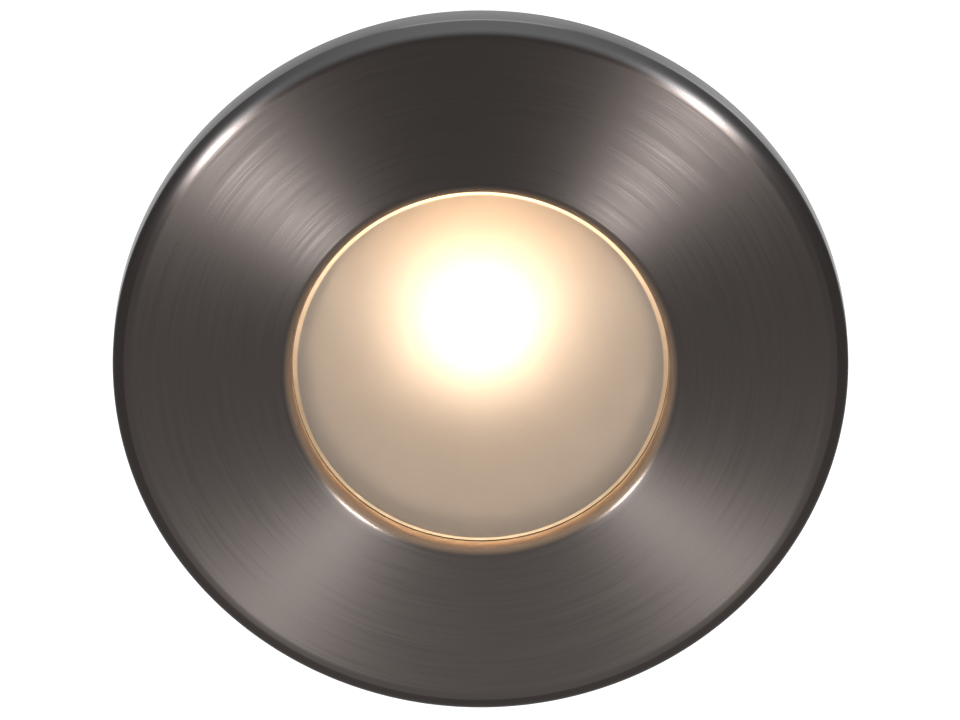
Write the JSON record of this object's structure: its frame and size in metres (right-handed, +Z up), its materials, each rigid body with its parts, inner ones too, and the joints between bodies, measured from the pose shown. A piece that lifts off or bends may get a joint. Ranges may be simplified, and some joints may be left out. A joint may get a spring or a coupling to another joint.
{
  "type": "recessed step light",
  "caption": "Round recessed LED step light: brushed trim disc, frosted glass lens, finned housing, sprung wall clips, driver and cable gland.",
  "frame": {"origin": "centre of the round wall cut-out, on the finished wall's surface", "axes": "-Y out of the wall towards the viewer, +Y into the wall, +Z up, +X to the viewer's right"},
  "size_m": [0.089, 0.0666, 0.089],
  "materials": {
    "dark_nickel": "satin",
    "frosted_glass": "matte",
    "cast_aluminium": "matte",
    "spun_aluminium": "polished",
    "zinc_steel": "satin",
    "spring_steel": "gloss",
    "black_rubber": "matte",
    "grey_pad": "matte",
    "white_mask": "satin",
    "green_mask": "satin",
    "phosphor": "satin",
    "red_wire": "satin",
    "black_wire": "satin",
    "fibre": "matte",
    "ferrite": "satin",
    "yellow_tape": "satin",
    "black_plastic": "satin",
    "blue_coating": "satin",
    "copper": "satin",
    "green_plastic": "satin",
    "green_screw": "satin"
  },
  "bodies": {
    "fixture": {"trim_ring": "dark_nickel", "wall_gasket": "black_rubber", "lens_gasket": "black_rubber", "lens": "frosted_glass", "lens_seal": "black_rubber", "trim_screw_1": "zinc_steel", "trim_screw_2": "zinc_steel", "trim_screw_3": "zinc_steel", "housing": "cast_aluminium", "reflector": "spun_aluminium", "thermal_pad": "grey_pad", "led_board": "white_mask", "led_emitter": "phosphor", "led_board_screw_1": "zinc_steel", "led_board_screw_2": "zinc_steel", "led_board_screw_3": "zinc_steel", "led_lead_red": "red_wire", "led_lead_black": "black_wire", "driver_insulator": "fibre", "driver_board": "green_mask", "driver_screw_1": "zinc_steel", "driver_screw_2": "zinc_steel", "transformer_core": "ferrite", "transformer_winding": "yellow_tape", "input_capacitor": "black_plastic", "output_capacitor": "black_plastic", "choke": "copper", "fuse": "copper", "varistor": "blue_coating", "rectifier": "black_plastic", "controller_chip": "black_plastic", "terminal_block": "green_plastic", "rear_seal": "black_rubber", "rear_cover": "cast_aluminium", "cover_screw_1": "zinc_steel", "cover_screw_2": "zinc_steel", "cover_screw_3": "zinc_steel", "ground_screw": "green_screw", "gland_body": "black_plastic", "gland_locknut": "black_plastic", "gland_seal": "black_rubber", "gland_nut": "black_plastic", "right_clip_pin": "zinc_steel", "left_clip_pin": "zinc_steel"},
    "right_clip": {"right_clip_leaf": "zinc_steel", "right_clip_pad": "black_rubber", "right_clip_spring": "spring_steel"},
    "left_clip": {"left_clip_leaf": "zinc_steel", "left_clip_pad": "black_rubber", "left_clip_spring": "spring_steel"}
  },
  "joints": [
    {"name": "right_clip_swing", "type": "hinge", "parent": "fixture", "child": "right_clip", "pos_m": [0.0332, 0.02, 0], "axis": [0, 0, 1], "range_deg": [0, 155], "stiffness_Nm_per_rad": 0.04, "springref_deg": -22.92, "deforming": ["right_clip_spring"]},
    {"name": "left_clip_swing", "type": "hinge", "parent": "fixture", "child": "left_clip", "pos_m": [-0.0332, 0.02, 0], "axis": [0, 0, -1], "range_deg": [0, 155], "stiffness_Nm_per_rad": 0.04, "springref_deg": -22.92, "deforming": ["left_clip_spring"]}
  ]
}
